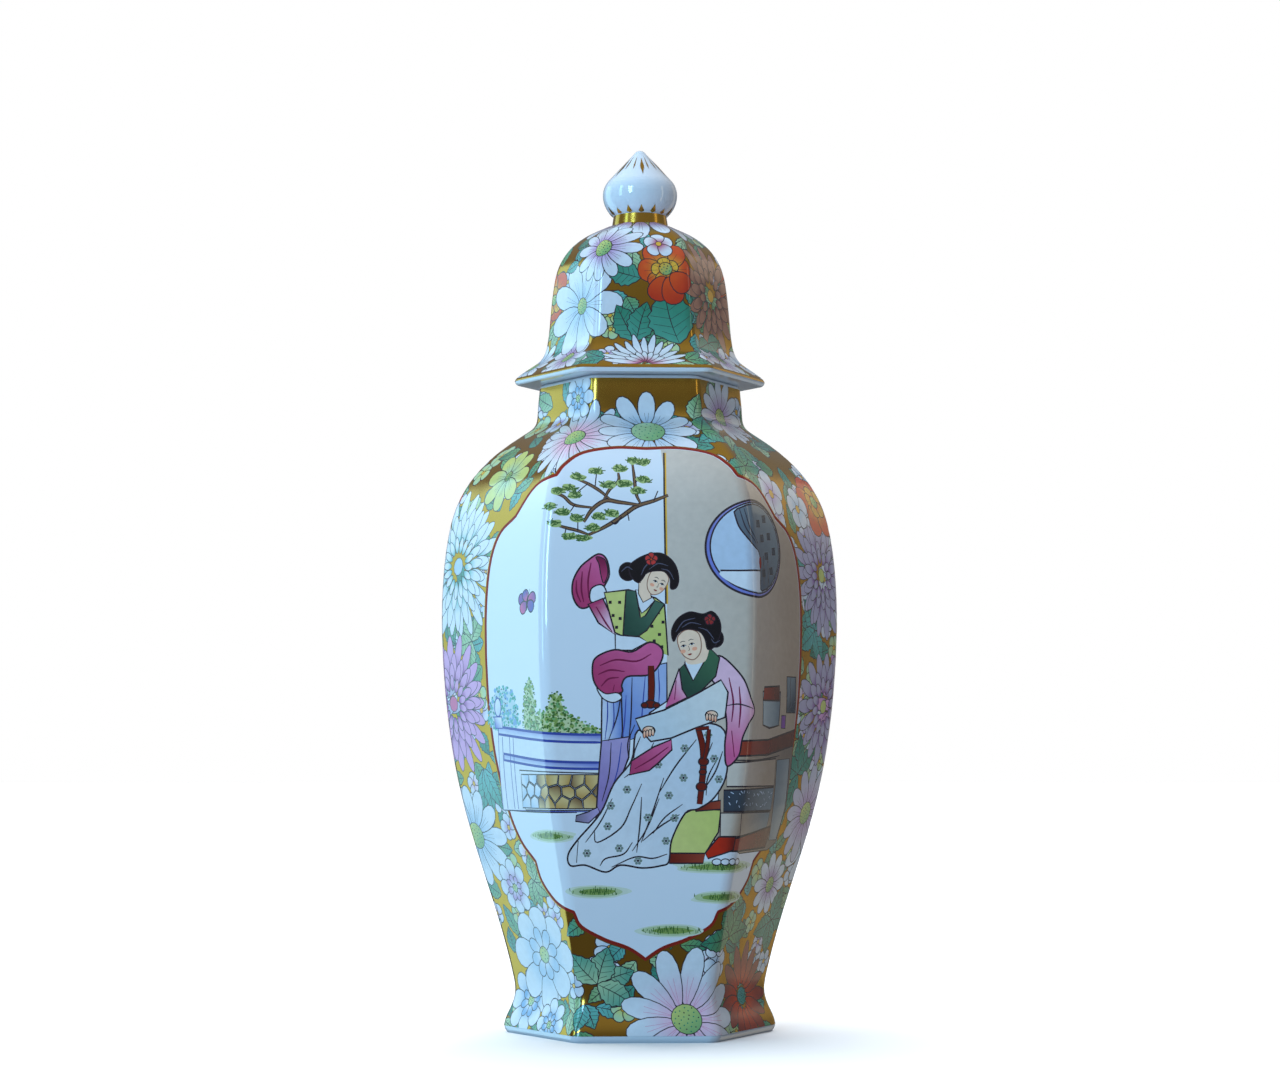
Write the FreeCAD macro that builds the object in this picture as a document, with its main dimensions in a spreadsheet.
"""A hexagonal porcelain ginger jar with a lift-off lid, drawn as the clay pieces a potter joins before firing.

Frame: millimetres, +Z up, origin at the centre of the foot on the surface it stands on. One flat panel faces -Y and
two corners lie on the X axis. Each hexagonal piece is a loft through regular hexagons with rounded corners. A station
is one of those hexagons: its height above the foot, and its corner radius before the corners are rounded.
"""
import FreeCAD, Part
import math
import os

import Sketcher

PANELS = 6
HALF_PANEL = math.pi / PANELS
FLAT_PER_CORNER = math.cos(HALF_PANEL)

doc = FreeCAD.newDocument("ginger_jar")
sizes = doc.addObject("Spreadsheet::Sheet", "sizes")

# ---------------------------------------------------------------- driving dimensions
SIZES = [
    ("flat_per_corner", round(FLAT_PER_CORNER, 7)),  # a hexagon's flat distance over its corner radius
    ("body_wall", 4.4),
    ("body_round", 5.0),
    ("neck_wall", 4.0),
    ("inner_round", 2.5),
    ("lip_round", 1.4),
    ("foot_height", 9.5),
    ("floor_underside", 6.5),
    ("floor_top", 12.0),
    ("flange_depth", 12.0),
    ("flange_corner", 31.0),
    ("flange_bore_corner", 27.4),
    ("lid_round", 4.0),
    ("collar_radius", 9.7),
    ("collar_foot_radius", 10.3),
    ("collar_height", 3.9),
    ("vent_radius", 1.5),
    ("bud_seat_radius", 9.6),
    ("bud_belly_radius", 13.6),
    ("bud_belly_rise", 8.0),
    ("bud_shoulder_radius", 11.6),
    ("bud_shoulder_rise", 13.2),
    ("bud_tip_radius", 2.2),
    ("bud_tip_rise", 23.4),
    ("bud_height", 24.7),
    ("bud_floor_radius", 7.2),
    ("bud_floor_rise", 3.4),
    ("bud_hollow_radius", 9.9),
    ("bud_hollow_turn_radius", 8.0),
    ("bud_hollow_turn_rise", 12.0),
    ("bud_hollow_top_rise", 19.4),
    ("lid_lift", 110.0),
]

# Stations, from the bottom up: name, height, corner radius.
BODY_STATIONS = [
    ("sole", 0.0, 48.2),
    ("foot_lip", 2.2, 49.3),
    ("foot_flare", 7.5, 47.6),
    ("waist", 15.0, 45.3),
    ("lower_rise", 25.0, 47.2),
    ("lower_body", 40.0, 51.4),
    ("middle_body", 62.0, 58.5),
    ("upper_body", 88.0, 65.8),
    ("under_belly", 116.0, 70.4),
    ("belly", 147.0, 72.3),
    ("over_belly", 170.0, 71.2),
    ("shoulder_start", 185.0, 68.4),
    ("shoulder", 196.0, 63.3),
    ("shoulder_slope", 205.5, 55.2),
    ("shoulder_top", 216.0, 40.6),
]
NECK_STATIONS = [
    ("neck_root", 216.0, 40.6),
    ("neck_cove", 218.0, 38.6),
    ("neck_waist", 222.0, 37.9),
    ("neck_upper", 228.0, 37.5),
    ("mouth", 233.0, 37.3),
]
LID_STATIONS = [
    ("brim_underside", 233.0, 45.3),
    ("brim_edge", 234.5, 46.1),
    ("brim_top", 236.0, 44.9),
    ("brim_slope", 239.2, 40.3),
    ("brim_cove", 242.6, 36.2),
    ("dome_root", 247.0, 34.4),
    ("dome_wall", 260.0, 33.0),
    ("dome_turn", 271.4, 31.6),
    ("dome_shoulder", 279.5, 28.7),
    ("dome_slope", 285.4, 23.6),
    ("dome_top", 289.2, 17.3),
    ("dome_crown", 291.4, 12.2),
]
LID_HOLLOW_STATIONS = [
    ("hollow_mouth", 233.0, 27.4),
    ("hollow_root", 246.0, 29.6),
    ("hollow_wall", 262.0, 28.4),
    ("hollow_turn", 273.0, 25.6),
    ("hollow_slope", 281.0, 19.2),
    ("hollow_crown", 286.8, 8.0),
]
STATIONS = BODY_STATIONS + NECK_STATIONS + LID_STATIONS + LID_HOLLOW_STATIONS


def fill_sheet():
    """One row for each driving dimension, with its value's cell aliased by name."""
    rows = list(SIZES)
    for name, height, corner in STATIONS:
        rows.append((f"{name}_height", height))
        rows.append((f"{name}_corner", corner))
    for row, (alias, value) in enumerate(rows, start=1):
        sizes.set(f"A{row}", alias)
        sizes.set(f"B{row}", str(value))
        sizes.setAlias(f"B{row}", alias)
    doc.recompute()


def size(alias):
    return float(sizes.get(alias)) if alias else 0.0


# ---------------------------------------------------------------- sketch tools
def bind(sketch, name, expression):
    """Names the sketch's newest dimension and binds it to the sheet."""
    sketch.renameConstraint(sketch.ConstraintCount - 1, name)
    sketch.setExpression(f"Constraints.{name}", expression)


def direction(angle):
    return FreeCAD.Vector(math.cos(angle), math.sin(angle), 0)


def hexagon(name, corner, rounding, height, wall=None):
    """A horizontal hexagon with rounded corners. The corner radius is measured to the sharp corner. With a wall it is
    drawn that much inside its flats."""
    sketch = doc.addObject("Sketcher::SketchObject", name)
    sketch.setExpression("Placement.Base.z", height)
    flat = size(corner) * FLAT_PER_CORNER - size(wall)
    centres = (flat - size(rounding)) / FLAT_PER_CORNER
    for panel in range(PANELS):
        out = direction(2 * HALF_PANEL * panel + HALF_PANEL)
        along = FreeCAD.Vector(-out.y, out.x, 0) * (centres / 2)
        sketch.addGeometry(Part.LineSegment(out * flat - along, out * flat + along), False)
    for panel in range(PANELS):
        middle = 2 * HALF_PANEL * (panel + 1)
        circle = Part.Circle(direction(middle) * centres, FreeCAD.Vector(0, 0, 1), size(rounding))
        sketch.addGeometry(Part.ArcOfCircle(circle, middle - HALF_PANEL, middle + HALF_PANEL), False)
    for panel in range(PANELS):
        corner_arc = PANELS + panel
        sketch.addConstraint(Sketcher.Constraint("Tangent", panel, 2, corner_arc, 1))
        sketch.addConstraint(Sketcher.Constraint("Tangent", corner_arc, 2, (panel + 1) % PANELS, 1))
    for panel in range(1, PANELS):
        sketch.addConstraint(Sketcher.Constraint("Equal", PANELS, PANELS + panel))
    for panel in range(PANELS // 2):
        sketch.addConstraint(Sketcher.Constraint("Parallel", panel, panel + PANELS // 2))
    sketch.addConstraint(Sketcher.Constraint("Horizontal", 1))
    for panel in (0, 1):
        sketch.addConstraint(Sketcher.Constraint("Angle", panel, 1, panel + 1, 1, 2 * HALF_PANEL))
    inset = f" - sizes.{wall}" if wall else ""
    for panel in range(PANELS):
        sketch.addConstraint(Sketcher.Constraint("Distance", -1, 1, panel, flat))
        bind(sketch, f"flat_{panel}", f"sizes.{corner} * sizes.flat_per_corner{inset}")
    sketch.addConstraint(Sketcher.Constraint("Radius", PANELS, size(rounding)))
    bind(sketch, "rounding", f"sizes.{rounding}")
    return sketch


# ---------------------------------------------------------------- solid tools
def loft(name, rings):
    solid = doc.addObject("Part::Loft", name)
    solid.Sections = rings
    solid.Solid = True
    solid.Ruled = False
    doc.recompute()
    return solid


def station_loft(name, stations, rounding, wall=None):
    """The loft through these stations, or through the hexagons one wall inside them."""
    rings = []
    for station, _, _ in stations:
        rings.append(hexagon(f"{name}_{station}", f"{station}_corner", rounding, f"sizes.{station}_height", wall))
    return loft(name, rings)


def prism(name, corner, rounding, low, high):
    """An upright hexagonal prism between two heights."""
    return loft(name, [hexagon(f"{name}_low", corner, rounding, low), hexagon(f"{name}_high", corner, rounding, high)])


def cut(name, base, tool):
    rest = doc.addObject("Part::Cut", name)
    rest.Base = base
    rest.Tool = tool
    doc.recompute()
    return rest


def common(name, *shapes):
    shared = doc.addObject("Part::MultiCommon", name)
    shared.Shapes = list(shapes)
    doc.recompute()
    return shared


# ---------------------------------------------------------------- jar
def body_shell(name):
    """Foot and body together, before the foot ring is told apart from the wall."""
    outside = station_loft(f"{name}_outside", BODY_STATIONS, "body_round")
    hollow = station_loft(f"{name}_hollow", BODY_STATIONS, "inner_round", "body_wall")
    return cut(name, outside, hollow)


def foot_layer(name):
    return prism(name, "belly_corner", "body_round", "sizes.sole_height", "sizes.foot_height")


def make_body_wall():
    return cut("body_wall", body_shell("wall_shell"), foot_layer("wall_foot_layer"))


def make_foot_ring():
    """The flared rim under the wall. The jar stands on it."""
    return common("foot_ring", body_shell("foot_shell"), foot_layer("foot_layer"))


def make_floor_slab():
    """The slab that closes the jar above the foot's rim. It fills the hollow between two heights."""
    layer = prism("floor_layer", "belly_corner", "body_round", "sizes.floor_underside", "sizes.floor_top")
    hollow = station_loft("floor_outline", BODY_STATIONS, "inner_round", "body_wall")
    return common("floor_slab", layer, hollow)


def make_neck_collar():
    outside = station_loft("neck_outside", NECK_STATIONS, "body_round")
    bore = station_loft("neck_bore", NECK_STATIONS, "inner_round", "neck_wall")
    tube = cut("neck_tube", outside, bore)
    lip = doc.addObject("Part::Fillet", "neck_collar")
    lip.Base = tube
    level = size("mouth_height") - 0.01
    rim = [i for i, edge in enumerate(tube.Shape.Edges, start=1) if min(v.Z for v in edge.Vertexes) > level]
    lip.Edges = [(i, size("lip_round"), size("lip_round")) for i in rim]
    doc.recompute()
    return lip


# ---------------------------------------------------------------- lid
def make_lid_dome():
    """Bell and brim in one pressing, hollow inside, with the vent of the hollow knob through its crown."""
    outside = station_loft("lid_outside", LID_STATIONS, "lid_round")
    hollow = station_loft("lid_hollow", LID_HOLLOW_STATIONS, "inner_round")
    bell = cut("lid_bell", outside, hollow)
    vent = doc.addObject("Part::Cylinder", "dome_vent")
    vent.setExpression("Radius", "sizes.vent_radius")
    vent.setExpression("Height", "sizes.dome_crown_height - sizes.hollow_slope_height + 1")
    vent.setExpression("Placement.Base.z", "sizes.hollow_slope_height")
    return cut("lid_dome", bell, vent)


def make_lid_flange():
    """The ring under the brim that drops into the neck and keeps the lid in place."""
    low = "sizes.mouth_height - sizes.flange_depth"
    high = "sizes.mouth_height"
    block = prism("flange_block", "flange_corner", "lid_round", low, high)
    bore = prism("flange_bore", "flange_bore_corner", "inner_round", low, high)
    return cut("lid_flange", block, bore)


def turned_piece(label, base, outline, arcs=()):
    """A piece turned about Z. The outline holds (radius, rise) pairs of sheet names in order round the section, with
    None for zero. An arc (side, point, axis) has its centre level with that point, or on the axis when point is
    None."""
    body = doc.addObject("PartDesign::Body", label)
    body.setExpression("Placement.Base.z", base)
    sketch = body.newObject("Sketcher::SketchObject", f"{label}_outline")
    plane = next(feature for feature in body.Origin.OriginFeatures if feature.Role == "XZ_Plane")
    sketch.AttachmentSupport = [(plane, "")]
    sketch.MapMode = "FlatFace"
    corners = [FreeCAD.Vector(size(radius), size(rise), 0) for radius, rise in outline]
    curved = dict(arcs)
    for side, start in enumerate(corners):
        end = corners[(side + 1) % len(corners)]
        if side in curved:
            chord = end - start
            bulge = (start + end) * 0.5 + FreeCAD.Vector(chord.y, -chord.x, 0) * 0.15
            sketch.addGeometry(Part.Arc(start, bulge, end), False)
        else:
            sketch.addGeometry(Part.LineSegment(start, end), False)
    for side in range(len(corners)):
        sketch.addConstraint(Sketcher.Constraint("Coincident", side, 2, (side + 1) % len(corners), 1))
    for side, (radius, rise) in enumerate(outline):
        hold(sketch, f"point_{side}_radius", "DistanceX", side, 1, radius)
        hold(sketch, f"point_{side}_rise", "DistanceY", side, 1, rise)
    for side, level in curved.items():
        kind = "DistanceY" if level else "DistanceX"
        hold(sketch, f"centre_{side}", kind, side, 3, level)
    doc.recompute()
    turned = body.newObject("PartDesign::Revolution", f"{label}_turned")
    turned.Profile = sketch
    turned.ReferenceAxis = (sketch, ["V_Axis"])
    turned.Angle = 360
    doc.recompute()
    return body


def hold(sketch, name, kind, side, point, alias):
    """Holds a point's radius (DistanceX) or rise (DistanceY) to the sheet, or to the sketch's axis where it is 0."""
    if alias is None:
        axis = -2 if kind == "DistanceX" else -1
        sketch.addConstraint(Sketcher.Constraint("PointOnObject", side, point, axis))
        return
    sketch.addConstraint(Sketcher.Constraint(kind, -1, 1, side, point, size(alias)))
    bind(sketch, name, f"sizes.{alias}")


def make_knob_collar():
    outline = [
        ("vent_radius", None),
        ("collar_foot_radius", None),
        ("collar_radius", "collar_height"),
        ("vent_radius", "collar_height"),
    ]
    return turned_piece("knob_collar", "sizes.dome_crown_height", outline)


def make_knob():
    """The lotus bud: a hollow turned piece that ends in a soft point."""
    outline = [
        ("vent_radius", None),
        ("bud_seat_radius", None),
        ("bud_belly_radius", "bud_belly_rise"),
        ("bud_shoulder_radius", "bud_shoulder_rise"),
        ("bud_tip_radius", "bud_tip_rise"),
        (None, "bud_height"),
        (None, "bud_hollow_top_rise"),
        ("bud_hollow_turn_radius", "bud_hollow_turn_rise"),
        ("bud_hollow_radius", "bud_belly_rise"),
        ("bud_floor_radius", "bud_floor_rise"),
        ("vent_radius", "bud_floor_rise"),
    ]
    arcs = [(1, "bud_belly_rise"), (2, "bud_belly_rise"), (4, None)]
    return turned_piece("knob", "sizes.dome_crown_height + sizes.collar_height", outline, arcs)


# ---------------------------------------------------------------- build, check, export
def check(pieces):
    faults = [item.Name for item in doc.Objects if {"Invalid", "Error"} & set(item.State)]
    for piece in pieces:
        if piece.Shape.isNull() or not piece.Shape.isValid():
            faults.append(piece.Label)
    if faults:
        raise RuntimeError("not built: " + ", ".join(faults))


fill_sheet()
pieces = [
    make_foot_ring(),
    make_body_wall(),
    make_floor_slab(),
    make_neck_collar(),
    make_lid_dome(),
    make_lid_flange(),
    make_knob_collar(),
    make_knob(),
]
for piece in pieces:
    piece.Label = piece.Name
doc.recompute()
check(pieces)
os.makedirs("parts", exist_ok=True)
for piece in pieces:
    piece.Shape.exportStep(f"parts/{piece.Label}.step")
    print(piece.Label, round(piece.Shape.Volume / 1000, 2), "cm3")
